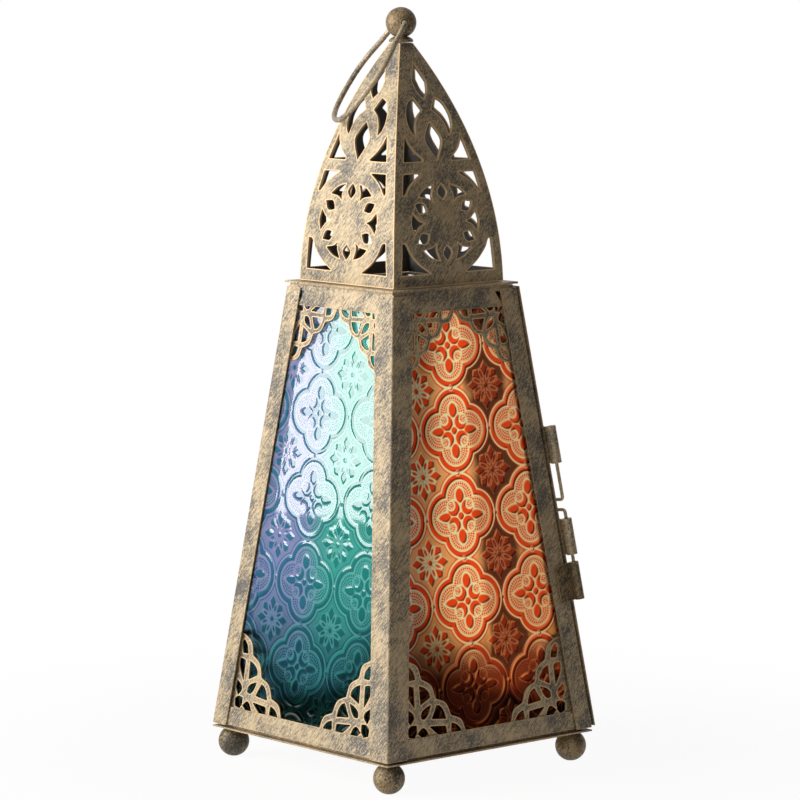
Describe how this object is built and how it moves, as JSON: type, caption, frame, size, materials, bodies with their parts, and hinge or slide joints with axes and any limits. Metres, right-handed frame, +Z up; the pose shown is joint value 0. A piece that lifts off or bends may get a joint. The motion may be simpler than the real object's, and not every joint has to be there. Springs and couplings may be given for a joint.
{
  "type": "moroccan lantern",
  "caption": "Table lantern in antiqued metal: leaning coloured relief-glass walls, filigree corners, a hinged and bolted door, a pierced dome, ball feet and a ring handle.",
  "frame": {"origin": "centre of the square body on the surface that the feet stand on", "axes": "+Z up; the front (red) wall faces -Y, the left (green) wall faces -X and the door is the +X wall, bolted at its -Y edge and hinged at its +Y edge"},
  "size_m": [0.1104, 0.1098, 0.2999],
  "materials": {
    "antiqued_brass": "antiqued, dry-brushed over dark grey",
    "dark_brass": "dark antiqued",
    "red_glass": "pressed relief, gloss",
    "green_glass": "pressed relief, gloss",
    "amber_glass": "pressed relief, gloss",
    "blue_glass": "pressed relief, gloss"
  },
  "bodies": {
    "lantern_body": {"base_plate": "antiqued_brass", "bottom_rail_back": "antiqued_brass", "bottom_rail_front": "antiqued_brass", "bottom_rail_left": "antiqued_brass", "candle_cup": "antiqued_brass", "collar_plate": "antiqued_brass", "dome_panel_back": "antiqued_brass", "dome_panel_front": "antiqued_brass", "dome_panel_left": "antiqued_brass", "dome_panel_right": "antiqued_brass", "filigree_back_bottom_left": "antiqued_brass", "filigree_back_bottom_right": "antiqued_brass", "filigree_back_top_left": "antiqued_brass", "filigree_back_top_right": "antiqued_brass", "filigree_front_bottom_left": "antiqued_brass", "filigree_front_bottom_right": "antiqued_brass", "filigree_front_top_left": "antiqued_brass", "filigree_front_top_right": "antiqued_brass", "filigree_left_bottom_left": "antiqued_brass", "filigree_left_bottom_right": "antiqued_brass", "filigree_left_top_left": "antiqued_brass", "filigree_left_top_right": "antiqued_brass", "finial_ball": "antiqued_brass", "finial_neck": "dark_brass", "foot_back_left": "antiqued_brass", "foot_back_right": "antiqued_brass", "foot_front_left": "antiqued_brass", "foot_front_right": "antiqued_brass", "glass_back": "blue_glass", "glass_front": "red_glass", "glass_left": "green_glass", "hinge_lower_pin": "antiqued_brass", "hinge_lower_post_leaf": "antiqued_brass", "hinge_upper_pin": "antiqued_brass", "hinge_upper_post_leaf": "antiqued_brass", "latch_keeper": "dark_brass", "post_back_left": "antiqued_brass", "post_back_right": "antiqued_brass", "post_front_left": "antiqued_brass", "post_front_right": "antiqued_brass", "top_rail_back": "antiqued_brass", "top_rail_front": "antiqued_brass", "top_rail_left": "antiqued_brass"},
    "door": {"door_rail_bottom": "antiqued_brass", "door_rail_top": "antiqued_brass", "door_stile_hinge": "antiqued_brass", "door_stile_latch": "antiqued_brass", "filigree_door_bottom_left": "antiqued_brass", "filigree_door_bottom_right": "antiqued_brass", "filigree_door_top_left": "antiqued_brass", "filigree_door_top_right": "antiqued_brass", "glass_door": "amber_glass", "hinge_lower_door_leaf": "antiqued_brass", "hinge_upper_door_leaf": "antiqued_brass", "latch_knuckle_lower": "antiqued_brass", "latch_knuckle_upper": "antiqued_brass"},
    "latch_bolt": {"latch_bolt": "antiqued_brass"},
    "ring_handle": {"ring_handle": "antiqued_brass"}
  },
  "joints": [
    {"name": "door_swing", "type": "hinge", "parent": "lantern_body", "child": "door", "pos_m": [0.05704, 0.05638, 0.01395], "axis": [-0.1218, -0.1218, 0.9851], "range_deg": [0, 120]},
    {"name": "bolt_slide", "type": "slide", "parent": "door", "child": "latch_bolt", "axis": [-0.1218, 0.1218, 0.9851], "range_m": [0, 0.013]},
    {"name": "ring_lift", "type": "hinge", "parent": "lantern_body", "child": "ring_handle", "pos_m": [0, 0, 0.29386], "axis": [0.4695, 0.8829, 0], "range_deg": [0, 291]}
  ]
}
